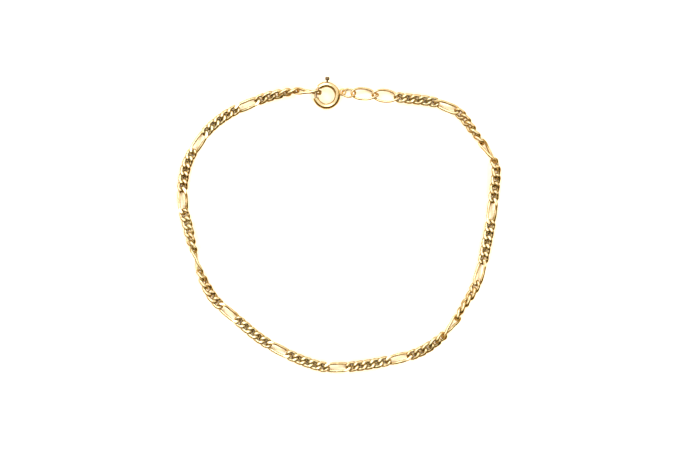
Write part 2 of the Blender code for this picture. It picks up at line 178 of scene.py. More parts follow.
# Roll of the chain about its own line, in degrees: a long link's number, its roll, and the roll at the
# middle of the run that follows it
ROLL_TABLE = [
    (1, -75, -145),
    (2, -180, -180),
    (3, -180, -180),
    (4, -178, -200),
    (5, -262, -336),
    (6, -360, -354),
    (7, -360, -357),
    (8, -360, -357),
    (9, -360, -375),
    (10, -420, -475),
    (11, -525, -535),
    (12, -540, -566),
    (13, -604, -668),
    (14, -706, -709),
    (15, -734, -739),
    (16, -744, -744),
]

# Fit of the route: its least and largest scale, the halvings between them, and the small corrections
ROUTE_SCALES = (0.5, 2.0)
ROUTE_HALVINGS = 30
ROUTE_REFINES = 4
STEP_REFINES = 4

# Fineness of the drawn wires
WIRE_SIDES = 20
CURB_POINTS = (24, 8)
LONG_POINTS = (24, 24)
END_POINTS = (48, 0)
JUMP_POINTS = 72
EYE_POINTS = 48
TUBE_SIDES = 44
TUBE_POINTS = 110
BORE_SIDES = 32
TONGUE_SIDES = 24
TONGUE_POINTS = 60
TRIGGER_SIDES = 40
SLOT_POINTS = 24
SOLDER_ROWS = 13
ROUND_STEPS = 6
FINE_END_POINTS = 24
FINE_SIDE_POINTS = 4
ROUTE_STEPS = 24
SHARP_ANGLE = radians(50)

# The soft edge of the filed flats
FLAT_EDGE = 0.05 * MM

# Worn gold of each slot: its colour, its warm clouds, the colour of the painted shade between the wires,
# and its roughness
GOLDS = {
    "chain_gold": ((0.85, 0.72, 0.41), (0.90, 0.67, 0.35), (0.13, 0.07, 0.008), 0.14),
    "end_link_gold": ((0.86, 0.74, 0.44), (0.89, 0.66, 0.37), (0.20, 0.13, 0.04), 0.14),
    "clasp_gold": ((0.86, 0.72, 0.40), (0.90, 0.67, 0.34), (0.16, 0.09, 0.01), 0.12),
    "bolt_gold": ((0.66, 0.54, 0.32), (0.78, 0.50, 0.30), (0.03, 0.03, 0.015), 0.20),
}

# Clouds of colour, and a tone of its own for each link
CLOUD_SCALE = 420.0
CLOUD_DETAIL = 3.0
CLOUD_SHARE = 1.4
TONE_SHARE = 0.7
TONE_SEED = 7
WARM_RANGE = (0.55, 1.5)

# Painted shade between the wires: how far a wire shades its neighbours, how many neighbours on each side,
# and how dark it gets
SHADE_REACH = 0.40 * MM
SHADE_NEIGHBOURS = 2
INSIDE_SHADE = 0.9
SHADE_POWER = 1.5
SHADE_DULL_RANGE = (0.3, 0.7)
SHADE_SHARES = (0.55, 0.95)
SHADE_ROUGHNESS = 0.22

# Dull spots, fine scratches and the polish of the filed flats
DULL_SCALE = 2600.0
DULL_DETAIL = 5.0
DULL_RANGE = (0.3, 0.75)
DULL_SHARES = (0.75, 1.45)
SCRATCH_TURN = (0.3, 0.5, 0.7)
SCRATCH_SCALE = (500.0, 11000.0, 6000.0)
SCRATCH_DETAIL = 2.0
SCRATCH_RANGE = (0.60, 0.72)
SCRATCH_ROUGHNESS = 0.07
SCRATCH_DEPTH = -0.35
FLAT_POLISH = 0.35
BUMP_STRENGTH = 0.25
BUMP_DISTANCE = 0.012 * MM

# Floor, and the duller tone that the metal mirrors in its place
FLOOR_HALF = 8.0
FLOOR_WHITES = ((0.90, 0.90, 0.90), (0.93, 0.93, 0.93))
FLOOR_GRAIN_SCALE = 900.0
FLOOR_GRAIN_RANGE = (0.2, 0.8)
FLOOR_ROUGHNESS = 0.65
FLOOR_GLOSS = 0.2
FLOOR_MIRRORED = (0.22, 0.175, 0.09)

# Room that the metal mirrors: bright towards the far left, and dark and warm on the other side
BRIGHT_SIDE = (-0.22, 0.82, 0.53)
ROOM_BRIGHT = 1.16
ROOM_DARK = 0.04
ROOM_EDGE = (-0.10, 0.34)
DARK_TINT = (1.0, 0.72, 0.24)
BRIGHT_TINT = (1.0, 1.0, 1.0)
TINT_POWER = 2.0

# Lamps: name, place, size, power, colour, and whether the metal mirrors it or it lights the table
COOL = (0.97, 0.99, 1.05)
CREAM = (1.0, 0.79, 0.54)
GOLDEN = (1.0, 0.62, 0.15)
LAMPS = [
    ("window", (-0.25, 0.75, 0.95), (0.9, 0.6), 4.6, COOL, True),
    ("top", (-0.10, 0.10, 1.20), (0.4, 0.4), 1.6, COOL, True),
    ("over", (0.02, 0.02, 1.20), (0.2, 0.2), 2.6, GOLDEN, False),
    ("far_left", (-0.75, 0.75, 0.80), (0.8, 0.8), 25.0, CREAM, False),
    ("far_right", (0.75, 0.75, 0.80), (0.8, 0.8), 25.0, CREAM, False),
    ("near_left", (-0.75, -0.75, 0.80), (0.8, 0.8), 25.0, CREAM, False),
    ("near_right", (0.75, -0.75, 0.80), (0.8, 0.8), 25.0, CREAM, False),
]

# Camera: straight above, as far away as a hand-held photo of such a piece
CAMERA_HEIGHT = 0.5
CAMERA_OVER = (2.16 * MM, -1.68 * MM)
CAMERA_NEAR = 0.01
VIEW_WIDTH = 141.05 * MM
SENSOR_MM = 36.0


def link_line(half_length, half_width, end_length, twist, end_points, side_points):
    """Centre line of a link's wire: an oval whose two ends are twisted opposite ways about its length."""
    straight = half_length - end_length
    flat = []
    for side in (1, -1):
        for k in range(end_points):
            turn = radians(-90 + 180 * (k + 0.5) / end_points)
            flat.append((side * (straight + end_length * cos(turn)), side * half_width * sin(turn)))
        for k in range(side_points):
            share = (k + 0.5) / side_points
            flat.append((side * straight * (1 - 2 * share), side * half_width))
    line = []
    for x, y in flat:
        share = x / half_length
        turn = twist * share * sqrt(abs(share))
        line.append(Vector((x, y * cos(turn), y * sin(turn))))
    return line


def circle_line(radius, count):
    """Points on a whole circle in the XY plane."""
    turns = np.linspace(0.0, radians(360), count, endpoint=False)
    return np.column_stack([radius * np.cos(turns), radius * np.sin(turns), np.zeros(count)])


class LinkKind:
    """One kind of link: its line, its reach past a joint and its height when it lies rolled."""

    def __init__(self, wire, width, pitch, past_joint, end_length, twist, points):
        half_length = pitch / 2 + wire / 2 + past_joint
        half_width = (width - wire) / 2
        end = end_length or half_length
        self.wire = wire
        self.pitch = pitch
        outline = (half_length, half_width, end, TWIST_HAND * twist)
        self.line = np.array(link_line(*outline, *points))
        self.fine_line = link_line(*outline, FINE_END_POINTS, FINE_SIDE_POINTS)
        self.half_length = half_length

    def growing(self, thick, towards):
        """Line and radii of a link that grows from this wire to a thick one's towards +X (1) or -X (-1)."""
        along = towards * self.line[:, 0] / self.half_length
        weight = np.clip((along - GROWS_FROM) / (GROWS_TO - GROWS_FROM), 0, 1)
        line = self.line + (thick.line - self.line) * weight[:, None]
        return line, (self.wire + (thick.wire - self.wire) * weight) / 2

    def rest_height(self, roll):
        """Height of the link's middle over the floor that it touches."""
        level = (CHAIN_THICKNESS - self.wire) / 2
        heights = []
        for point in self.fine_line:
            z = min(max(point.z, -level), level)
            heights.append(-(point.y * sin(roll) + z * cos(roll)))
        return max(heights) + self.wire / 2


class Clasp:
    """Places on the clasp, in its own frame with the ring in the XY plane and its centre at zero."""

    def __init__(self):
        self.radius = (RING_OUTER - TUBE) / 2
        self.height = self.radius * sin(RING_TILT) + TUBE / 2
        self.tilt = Matrix.Rotation(RING_TILT, 4, "X")
        self.eye_radius = (EYE_HOLE + EYE_WIRE) / 2
        self.eye_reach = RING_OUTER / 2 - EYE_SINK + self.eye_radius
        self.eye = Vector((cos(EYE_ANGLE), sin(EYE_ANGLE), 0)) * self.eye_reach
        hook_reach = self.radius - TONGUE / 2 - HOOK_PLAY
        self.hook = Vector((cos(HOOK_ANGLE), sin(HOOK_ANGLE), 0)) * hook_reach
        self.jump_radius = (JUMP_OUTER - JUMP_WIRE) / 2

    def frame(self, centre):
        """Matrix from the clasp's own frame to the route's frame."""
        return Matrix.Translation((centre.x, centre.y, self.height)) @ self.tilt

    def jump_matrix(self, centre):
        """The jump ring leans on the floor and passes through the eye on its way down."""
        eye = self.frame(centre) @ self.eye
        middle_height = self.jump_radius * sin(JUMP_TILT) + JUMP_WIRE / 2
        drop = (middle_height - eye.z) / (self.jump_radius * sin(JUMP_TILT))
        back = self.jump_radius * cos(asin(drop))
        aside = self.jump_radius * drop * cos(JUMP_TILT)
        heading = Matrix.Rotation(JUMP_HEADING, 4, "Z")
        offset = heading @ Vector((back, -aside, 0))
        middle = Vector((eye.x + offset.x, eye.y + offset.y, middle_height))
        return Matrix.Translation(middle) @ heading @ Matrix.Rotation(-JUMP_TILT, 4, "X")

    def jump_joint(self, centre):
        """Just inside the jump ring's wire, where the last link pulls."""
        reach = self.jump_radius - JUMP_WIRE / 2 - JUMP_PLAY
        return self.jump_matrix(centre) @ Vector((reach, 0, 0))


def smooth_route(points):
    """Smooth curve through the points, as many short steps (Catmull-Rom)."""
    ends = [points[0] * 2 - points[1], *points, points[-1] * 2 - points[-2]]
    dense = []
    for before, start, end, after in zip(ends, ends[1:], ends[2:], ends[3:]):
        for k in range(ROUTE_STEPS):
            t = k / ROUTE_STEPS
            dense.append(
                start
                + (end - before) * (t / 2)
                + (before * 2 - start * 5 + end * 4 - after) * (t * t / 2)
                + (start * 3 - end * 3 + after - before) * (t**3 / 2)
            )
    dense.append(points[-1])
    return np.array([(point.x, point.y) for point in dense])


class Route:
    """The chain's line on the floor for one scale of the chosen points."""

    def __init__(self, scale, clasp):
        self.centre = Vector((*CLASP_CENTRE, 0)) * (scale * MM)
        start = (clasp.frame(self.centre) @ clasp.hook).to_2d()
        end = clasp.jump_joint(self.centre).to_2d()
        middle = [Vector(point) * (scale * MM) for point in ROUTE_MM]
        self.dense = smooth_route([start, *middle, end])
        steps = np.linalg.norm(np.diff(self.dense, axis=0), axis=1)
        self.reach = np.concatenate([[0], np.cumsum(steps)])

    def at(self, reach):
        """Point at a distance along the route."""
        x = np.interp(reach, self.reach, self.dense[:, 0])
        y = np.interp(reach, self.reach, self.dense[:, 1])
        return np.array([x, y])

    def walk(self, pitches):
        """Joints whose straight distances are the pitches."""
        reach = 0.0
        joints = [self.at(0.0)]
        for pitch in pitches:
            reach += pitch
            for _ in range(STEP_REFINES):
                reach += pitch - np.linalg.norm(self.at(reach) - joints[-1])
            joints.append(self.at(reach))
        return joints, reach


def fitted_route(pitches, clasp):
    """Scales the route until the last joint falls on its end."""
    low, high = ROUTE_SCALES
    for _ in range(ROUTE_HALVINGS):
        scale = (low + high) / 2
        route = Route(scale, clasp)
        spare = route.reach[-1] - sum(pitches)
        low, high = (scale, high) if spare < 0 else (low, scale)
    for _ in range(ROUTE_REFINES):
        joints, reach = route.walk(pitches)
        scale *= 1 + (reach - route.reach[-1]) / route.reach[-1]
        route = Route(scale, clasp)
    joints, _ = route.walk(pitches)
    return route, joints


def link_kinds():
    """The kinds of link. Neighbouring curb links sink into each other, and the others keep a gap."""
    sink = -SOLDER_OVERLAP / 2
    loose = SOLDER_OVERLAP / 2 + LINK_GAP
    wide = SOLDER_OVERLAP / 2 + END_GAP
    return {
        "curb": LinkKind(CURB_WIRE, CHAIN_WIDTH, CURB_PITCH, sink, LINK_END, CURB_TWIST, CURB_POINTS),
        "thin": LinkKind(CHAIN_WIRE, CHAIN_WIDTH, CURB_PITCH, sink, LINK_END, CURB_TWIST, CURB_POINTS),
        "long": LinkKind(CHAIN_WIRE, CHAIN_WIDTH, LONG_PITCH, loose, LINK_END, LONG_TWIST, LONG_POINTS),
        "end": LinkKind(END_WIRE, END_WIDTH, END_PITCH, wide, 0, END_TWIST, END_POINTS),
    }


def chain_kinds():
    """The links of the chain in order, as (kind name, long link number, place in its run)."""
    order = []
    for number in range(1, RUNS + 1):
        order.append(("long", number, 0))
        for place in range(1, CURBS_PER_RUN + 1):
            order.append(("curb", number, place))
    order += [("end", RUNS + 1, 0), ("end", RUNS + 2, 0)]
    return order


def roll_at(number, place):
    """Roll of a link, read between the rows of the table. It turns the way that the links are twisted."""
    knots = []
    rolls = []
    for row_number, at_long, at_middle in ROLL_TABLE:
        knots += [row_number, row_number + 0.5]
        rolls += [at_long, at_middle]
    share = place / (CURBS_PER_RUN + 1)
    return TWIST_HAND * radians(np.interp(number + share, knots, rolls))


def link_matrix(start, end, roll):
    """Frame of a link that lies between two joints, rolled about the line between them."""
    along = (end - start).normalized()
    across = Vector((0, 0, 1)).cross(along).normalized()
    up = along.cross(across)
    side = across * cos(roll) + up * sin(roll)
    top = along.cross(side)
    matrix = Matrix((along, side, top)).transposed().to_4x4()
    matrix.translation = (start + end) / 2
    return matrix


def lay_chain(kinds, order, clasp):
    """Places every link. Returns the clasp's centre and a matrix for each link."""
    pitches = [kinds[kind].pitch for kind, _, _ in order]
    route, flat_joints = fitted_route(pitches, clasp)
    rolls = [roll_at(number, place) for _, number, place in order]
    rests = [kinds[kind].rest_height(roll) for (kind, _, _), roll in zip(order, rolls)]
    heights = [rests[0]]
    heights += [max(pair) for pair in zip(rests, rests[1:])]
    heights.append(clasp.jump_joint(route.centre).z)
    joints = [Vector((x, y, height)) for (x, y), height in zip(flat_joints, heights)]
    matrices = []
    for start, end, roll in zip(joints, joints[1:], rolls):
        matrices.append(link_matrix(start, end, roll))
    return route.centre, matrices


def unit(vectors):
    """Vectors of length one."""
    return vectors / np.linalg.norm(vectors, axis=-1, keepdims=True)


def wire_rings(line, radii, sides):
    """Rings of points round a closed line, each square to it and not twisted against the one before."""
    tangents = unit(np.roll(line, -1, axis=0) - np.roll(line, 1, axis=0))
    helper = np.array([0.0, 0.0, 1.0])
    if abs(tangents[0] @ helper) > 0.9:
        helper = np.array([1.0, 0.0, 0.0])
    normal = unit(np.cross(tangents[0], helper))
    normals = []
    for tangent in tangents:
        normal = unit(normal - tangent * (normal @ tangent))
        normals.append(normal)
    normals = np.array(normals)
    last = unit(normal - tangents[0] * (normal @ tangents[0]))
    aside = np.cross(tangents[0], normals[0])
    turned = np.linspace(0, np.arctan2(last @ aside, last @ normals[0]), len(line), endpoint=False)
    asides = np.cross(tangents, normals)
    angles = np.linspace(0, 2 * np.pi, sides, endpoint=False)[None, :] - turned[:, None]
    radii = np.broadcast_to(np.asarray(radii, float), (len(line),))[:, None, None]
    outwards = np.cos(angles)[..., None] * normals[:, None] + np.sin(angles)[..., None] * asides[:, None]
    return line[:, None] + outwards * radii


class Skin:
    """Collects rings of points into one mesh, with a few numbers kept for each point."""

    def __init__(self):
        self.points = []
        self.faces = []
        self.marks = {"shade": [], "flat": [], "tone": []}
        self.count = 0

    def add(self, rings, closed, shade=0.0, flat=0.0, tone=0.5):
        """Adds a tube, closed on itself or with its two ends capped."""
        rows, sides = rings.shape[:2]
        points = rings.reshape(-1, 3)
        first = self.count
        for row in range(rows if closed else rows - 1):
            near = first + row * sides
            far = first + (row + 1) % rows * sides
            for k in range(sides):
                next_k = (k + 1) % sides
                self.faces.append((near + k, near + next_k, far + next_k, far + k))
        if not closed:
            poles = [rings[0].mean(axis=0), rings[-1].mean(axis=0)]
            start_pole = first + len(points)
            last_row = first + (rows - 1) * sides
            for k in range(sides):
                next_k = (k + 1) % sides
                self.faces.append((start_pole, first + next_k, first + k))
                self.faces.append((start_pole + 1, last_row + k, last_row + next_k))
            points = np.vstack([points, poles])
        self.points.append(points)
        for name, value in (("shade", shade), ("flat", flat), ("tone", tone)):
            values = np.zeros(len(points))
            values[: rows * sides] = np.asarray(value).reshape(-1) if np.ndim(value) else value
            self.marks[name].append(values)
        self.count += len(points)

    def mesh(self, name):
        """Makes the mesh, with its kept numbers as attributes."""
        mesh = bpy.data.meshes.new(name)
        mesh.from_pydata(np.vstack(self.points).tolist(), [], self.faces)
        for key, values in self.marks.items():
            mesh.attributes.new(key, "FLOAT", "POINT").data.foreach_set("value", np.concatenate(values))
        return mesh


def soft_limit(values, limit, edge):
    """Holds values within a limit, with a soft turn of this width before it."""
    start = limit - edge
    over = np.maximum(np.abs(values) - start, 0)
    held = np.where(over > 0, start + edge * (1 - np.exp(-over / edge)), np.abs(values))
    return np.sign(values) * held


def moved(points, matrix):
    """Points through a matrix."""
    turn = np.array(matrix.to_3x3())
    return points @ turn.T + np.array(matrix.translation)


def link_rings(line, radii, matrix):
    """A link's wire with its two filed flats.

    Returns the rings, how flat each point is and how far it faces inwards, and the line where it lies.
    """
    rings = wire_rings(line, radii, WIRE_SIDES)
    filed = rings.copy()
    filed[..., 2] = soft_limit(rings[..., 2], CHAIN_THICKNESS / 2, FLAT_EDGE)
    cut = np.abs(rings[..., 2]) - np.abs(filed[..., 2])
    flat = np.clip(cut / FLAT_EDGE, 0, 1)
    outwards = unit(rings - line[:, None])
    to_middle = unit(np.column_stack([line[:, 0] * 0, -line[:, 1], -line[:, 2]]) + 1e-9)
    inwards = np.clip((outwards * to_middle[:, None]).sum(axis=-1), 0, 1)
    return moved(filed, matrix), flat, inwards, moved(line, matrix)


def shade_from(points, lines, wire):
    """How close each point is to its neighbours' wires, from 0 to 1."""
    near = np.full(points.shape[:2], 1.0)
    for line in lines:
        gaps = np.linalg.norm(points[:, :, None] - line[None, None], axis=-1).min(axis=-1) - wire / 2
        near = np.minimum(near, gaps / SHADE_REACH)
    return 1 - np.clip(near, 0, 1)


def cut_mesh(name, base, others):
    """Joins or cuts meshes. others holds pairs of an operation and a mesh."""
    collection = bpy.context.scene.collection
    body = bpy.data.objects.new(name, base)
    collection.objects.link(body)
    helpers = []
    for index, (operation, mesh) in enumerate(others):
        helper = bpy.data.objects.new(f"{name}_helper_{index}", mesh)
        collection.objects.link(helper)
        helpers.append(helper)
        modifier = body.modifiers.new(operation.lower(), "BOOLEAN")
        modifier.operation = operation
        modifier.solver = "EXACT"
        modifier.object = helper
    bpy.context.view_layer.update()
    graph = bpy.context.evaluated_depsgraph_get()
    result = bpy.data.meshes.new_from_object(body.evaluated_get(graph))
    result.name = name
    for obj in (body, *helpers):
        bpy.data.objects.remove(obj)
    return result


def one_mesh(name, rings, closed, **marks):
    """A single tube as a mesh."""
    skin = Skin()
    skin.add(rings, closed, **marks)
    return skin.mesh(name)


def rounded(length, radius, rounding):
    """What is left of the radius at a distance from a rounded end."""
    inside = np.clip(rounding - length, 0, rounding)
    return radius - rounding + np.sqrt(np.maximum(rounding**2 - inside**2, 0))


def end_stations(start, end, radius, rounding, count):
    """Angles along an arc, closer together at its rounded ends."""
    small = rounding / radius
    near = start + small * (1 - np.cos(np.linspace(0, np.pi / 2, ROUND_STEPS, endpoint=False)))
    far = end - small * (1 - np.cos(np.linspace(np.pi / 2, 0, ROUND_STEPS)))
    middle = np.linspace(start + small, end - small, count, endpoint=False)
    return np.concatenate([near, middle, far])


def arc_tube(radius, start, end, thick, rounding, sides, count):
    """Rings of a tube bent round an arc, with rounded ends."""
    turns = end_stations(start, end, radius, rounding, count)
    line = np.column_stack([radius * np.cos(turns), radius * np.sin(turns), np.zeros(len(turns))])
    length = np.minimum(turns - start, end - turns) * radius
    radii = rounded(length, thick / 2, rounding)
    normals = np.column_stack([np.cos(turns), np.sin(turns), np.zeros(len(turns))])
    angles = np.linspace(0, 2 * np.pi, sides, endpoint=False)
    outwards = np.cos(angles)[None, :, None] * normals[:, None]
    outwards = outwards - np.sin(angles)[None, :, None] * np.array([0.0, 0.0, -1.0])
    return line[:, None] + outwards[:, ::-1] * radii[:, None, None]


def slot_rings(clasp):
    """Cutter of the trigger's slot through the tube's outer wall, with round ends."""
    width = TRIGGER_NECK / 2 + SLOT_CLEARANCE
    spare = asin(width / clasp.radius)
    start = TRIGGER_ANGLE - TRIGGER_TRAVEL - spare
    turns = end_stations(start, TRIGGER_ANGLE + spare, clasp.radius, width, SLOT_POINTS)
    length = np.minimum(turns - turns[0], turns[-1] - turns) * clasp.radius
    heights = np.maximum(rounded(length, width, width), width * SLOT_TIP)
    low = clasp.radius + SLOT_FROM
    high = clasp.radius + TUBE
    rows = []
    for turn, height in zip(turns, heights):
        outwards = np.array([cos(turn), sin(turn), 0.0])
        up = np.array([0.0, 0.0, height])
        rows.append([outwards * low - up, outwards * low + up, outwards * high + up, outwards * high - up])
    return np.array(rows)


def ring_skin(clasp):
    """Hollow C-shaped tube with round lips, the trigger's slot and the soldered eye."""
    tube = arc_tube(clasp.radius, TUBE_FROM, TUBE_TO, TUBE, TUBE_LIP, TUBE_SIDES, TUBE_POINTS)
    past = BORE_PAST_END / clasp.radius
    bore = arc_tube(clasp.radius, TUBE_FROM - past, TUBE_TO + past, BORE, TUBE_LIP, BORE_SIDES, TUBE_POINTS)
    eye = wire_rings(circle_line(clasp.eye_radius, EYE_POINTS), EYE_WIRE / 2, WIRE_SIDES)
    eye = eye + np.array(clasp.eye)
    steps = [
        ("UNION", one_mesh("eye", eye, True)),
        ("UNION", one_mesh("solder", solder_rings(), False)),
        ("DIFFERENCE", one_mesh("bore", bore, False)),
        ("DIFFERENCE", one_mesh("slot", slot_rings(clasp), False)),
    ]
    return cut_mesh("clasp_ring_tube", one_mesh("tube", tube, False), steps)


def solder_rings():
    """A small flattened bead of solder where the eye meets the tube."""
    turns = np.linspace(-SOLDER_TURN, SOLDER_TURN, SOLDER_ROWS)
    angles = np.linspace(0, 2 * np.pi, WIRE_SIDES, endpoint=False)
    across, along, high = SOLDER
    outwards = np.array([cos(EYE_ANGLE), sin(EYE_ANGLE), 0.0])
    aside = np.array([-sin(EYE_ANGLE), cos(EYE_ANGLE), 0.0])
    middle = outwards * (RING_OUTER / 2 - EYE_SINK / 2)
    rows = []
    for turn in turns:
        rows.append(
            middle
            + aside * (along * sin(turn))
            + cos(turn) * across * np.sin(angles)[:, None] * outwards
            + cos(turn) * high * np.cos(angles)[:, None] * np.array([0.0, 0.0, 1.0])
        )
    return np.array(rows)


def trigger_profile(clasp):
    """Heights and radii of the trigger from its neck's foot to its top, with rounded edges."""
    top = RING_OUTER / 2 + TRIGGER_HEIGHT
    foot = top - TRIGGER_HEAD_LENGTH
    face = TRIGGER_FACE / 2
    head = TRIGGER_HEAD / 2
    profile = [(clasp.radius, TRIGGER_NECK / 2), (foot - COLLAR_LENGTH, TRIGGER_NECK / 2)]
    profile.append((foot, TRIGGER_NECK / 2 + COLLAR_HEIGHT))
    for k in range(ROUND_STEPS + 1):
        turn = radians(90 * k / ROUND_STEPS)
        profile.append((foot + TRIGGER_ROUNDING * (1 - cos(turn)), face + (head - face) * sin(turn)))
    for k in range(ROUND_STEPS + 1):
        turn = radians(90 * k / ROUND_STEPS)
        profile.append((top - TRIGGER_ROUNDING * (1 - sin(turn)), face + (head - face) * cos(turn)))
    profile.append((top, face / 2))
    return profile


def bolt_skin(clasp):
    """Curved tongue with round ends and the trigger standing on it, with a painted dark reflection on its
    head.
    """
    tongue = arc_tube(
        clasp.radius, TONGUE_FROM, TONGUE_TO, TONGUE, TONGUE_ROUNDING, TONGUE_SIDES, TONGUE_POINTS
    )
    angles = np.linspace(0, 2 * np.pi, TRIGGER_SIDES, endpoint=False)
    rows = []
    for height, radius in trigger_profile(clasp):
        level = np.full(TRIGGER_SIDES, height)
        rows.append(np.column_stack([radius * np.cos(angles), radius * np.sin(angles), level]))
    stand = Matrix.Rotation(TRIGGER_ANGLE, 4, "Z") @ Matrix.Rotation(radians(90), 4, "Y")
    trigger = moved(np.array(rows), stand)
    mesh = cut_mesh(
        "clasp_bolt_tongue",
        one_mesh("tongue", tongue, False),
        [("UNION", one_mesh("trigger", trigger, False))],
    )
    # The trigger's head gets the full shade colour of its gold, a painted dark reflection on the polished
    # head
    outwards = Vector((cos(TRIGGER_ANGLE), sin(TRIGGER_ANGLE), 0.0))
    foot = RING_OUTER / 2 + TRIGGER_HEIGHT - TRIGGER_HEAD_LENGTH - COLLAR_LENGTH / 2
    dark = [float(vertex.co.dot(outwards) > foot) for vertex in mesh.vertices]
    mesh.attributes["shade"].data.foreach_set("value", dark)
    return mesh


class Nodes:
    """Short way to make and join the nodes of one material or world."""

    def __init__(self, tree):
        self.tree = tree

    def add(self, kind, settings=None, **values):
        """Adds a node. values are its sockets: a number, a colour, or another node's output."""
        node = self.tree.nodes.new(kind)
        for key, value in (settings or {}).items():
            setattr(node, key, value)
        for key, value in values.items():
            socket = node.inputs[int(key[1:])] if key[0] == "i" and key[1:].isdigit() else node.inputs[key]
            self.set(socket, value)
        return node

    def set(self, socket, value):
        """Sets a socket to a number or colour, or links an output to it."""
        if isinstance(value, bpy.types.NodeSocket):
            self.tree.links.new(value, socket)
        else:
            socket.default_value = value

    def math(self, operation, first, second, clamp=False):
        """A Math node's output."""
        settings = {"operation": operation, "use_clamp": clamp}
        return self.add("ShaderNodeMath", settings, i0=first, i1=second).outputs[0]

    def spread(self, value, low, high, to_low, to_high):
        """A value moved from one range to another and held there."""
        settings = {"interpolation_type": "SMOOTHSTEP"}
        return self.add(
            "ShaderNodeMapRange", settings, i0=value, i1=low, i2=high, i3=to_low, i4=to_high
        ).outputs[0]

    def mix(self, share, first, second):
        """Two colours mixed."""
        node = self.add("ShaderNodeMix", {"data_type": "RGBA"})
        self.set(node.inputs[0], share)
        self.set(node.inputs[6], first)
        self.set(node.inputs[7], second)
        return node.outputs[2]

    def noise(self, vector, scale, detail):
        """Smooth noise."""
        node = self.add("ShaderNodeTexNoise", None, Vector=vector, Scale=scale, Detail=detail)
        return node.outputs[0]

    def attribute(self, name):
        """A number kept for each point of the mesh."""
        return self.add("ShaderNodeAttribute", {"attribute_name": name}).outputs["Fac"]


def colour4(colour):
    """A colour with its fourth number."""
    return (*colour, 1.0)


def gold_material(name, colour, warm, shade_colour, roughness):
    """Polished gold that is a little worn: clouded colour, fine scratches, and painted shade between the
    wires, darker and duller there.
    """
    material = bpy.data.materials.new(name)
    material.use_nodes = True
    tree = material.node_tree
    nodes = Nodes(tree)
    shader = tree.nodes["Principled BSDF"]
    place = nodes.add("ShaderNodeTexCoord").outputs["Object"]
    cloud = nodes.noise(place, CLOUD_SCALE, CLOUD_DETAIL)
    dull = nodes.noise(place, DULL_SCALE, DULL_DETAIL)
    turned = nodes.add("ShaderNodeMapping", None, i0=place, i2=SCRATCH_TURN, i3=SCRATCH_SCALE)
    lines = nodes.noise(turned.outputs[0], 1.0, SCRATCH_DETAIL)
    scratch = nodes.spread(lines, *SCRATCH_RANGE, 0.0, 1.0)
    shade = nodes.attribute("shade")
    flat = nodes.attribute("flat")
    tone = nodes.attribute("tone")

    clouds = nodes.math("MULTIPLY", cloud, CLOUD_SHARE)
    drift = nodes.math("ADD", clouds, nodes.math("MULTIPLY", tone, TONE_SHARE))
    base = nodes.mix(nodes.spread(drift, *WARM_RANGE, 0.0, 1.0), colour4(colour), colour4(warm))
    # Painted shade: the colour darkens towards the shade colour where wires come close to their neighbours
    # and on the curbs' inner sides, and the trigger's head takes it in full as a painted dark reflection
    deep = nodes.math("POWER", shade, SHADE_POWER)
    painted_shade = nodes.math("MULTIPLY", deep, nodes.spread(dull, *SHADE_DULL_RANGE, *SHADE_SHARES))
    nodes.set(shader.inputs["Base Color"], nodes.mix(painted_shade, base, colour4(shade_colour)))

    low, high = DULL_SHARES
    rough = nodes.spread(dull, *DULL_RANGE, roughness * low, roughness * high)
    rough = nodes.math("ADD", rough, nodes.math("MULTIPLY", painted_shade, SHADE_ROUGHNESS))
    rough = nodes.math("ADD", rough, nodes.math("MULTIPLY", scratch, SCRATCH_ROUGHNESS))
    polish = nodes.math("MULTIPLY", flat, roughness * FLAT_POLISH)
    nodes.set(shader.inputs["Roughness"], nodes.math("SUBTRACT", rough, polish, clamp=True))

    height = nodes.math("ADD", nodes.math("MULTIPLY", scratch, SCRATCH_DEPTH), dull)
    bump = nodes.add(
        "ShaderNodeBump", None, Strength=BUMP_STRENGTH, Distance=BUMP_DISTANCE, Height=height
    )
    nodes.set(shader.inputs["Normal"], bump.outputs[0])
    shader.inputs["Metallic"].default_value = 1.0
    material.diffuse_color = colour4(colour)
    return material


def show(mesh, node, body, slot, materials):
    """Shows a mesh in place of a solid: it rides on the solid's body and takes its slot."""
    mesh.materials.clear()
    mesh.materials.append(materials[slot])
    mesh.shade_smooth()
    mesh.set_sharp_from_angle(angle=SHARP_ANGLE)
    obj = bpy.data.objects.new(mesh.name, mesh)
    bpy.context.scene.collection.objects.link(obj)
    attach(obj, body)
    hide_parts(node)


def build_chain(kinds, order, matrices, jump_line, materials):
    """Draws the long links, the runs of curb links and the two end links."""
    drawn = []
    for (kind, _, place), matrix in zip(order, matrices):
        line, radii = kinds[kind].line, kinds[kind].wire / 2
        if place in (1, CURBS_PER_RUN):
            line, radii = kinds["thin"].growing(kinds["curb"], 1 if place == 1 else -1)
        drawn.append(link_rings(line, radii, matrix))
    lines = [line for _, _, _, line in drawn]
    tones = np.random.default_rng(TONE_SEED).random(len(order))
    runs = {number: Skin() for number in range(1, RUNS + 1)}
    for index, ((kind, number, place), (rings, flat, inwards, _)) in enumerate(zip(order, drawn)):
        before = lines[max(index - SHADE_NEIGHBOURS, 0) : index]
        around = before + lines[index + 1 : index + 1 + SHADE_NEIGHBOURS]
        if index == len(order) - 1:
            around.append(jump_line)
        # Painted shade where a wire comes close to its neighbours' wires, and for curb links also on their
        # inner sides
        shade = shade_from(rings, around, CHAIN_WIRE)
        marks = {"shade": shade, "flat": flat, "tone": tones[index]}
        if kind == "curb":
            marks["shade"] = np.maximum(shade, inwards * INSIDE_SHADE)
            runs[number].add(rings, True, **marks)
        elif kind == "long":
            name = f"long_link_{number:02d}"
            mesh = one_mesh(name + "_wire", rings, True, **marks)
            show(mesh, name, "bracelet", "chain_gold", materials)
        else:
            name = f"end_link_{number - RUNS:02d}"
            mesh = one_mesh(name + "_wire", rings, True, **marks)
            show(mesh, name, "bracelet", "end_link_gold", materials)
    for number, skin in runs.items():
        name = f"curb_run_{number:02d}"
        show(skin.mesh(name + "_wires"), name, "bracelet", "chain_gold", materials)


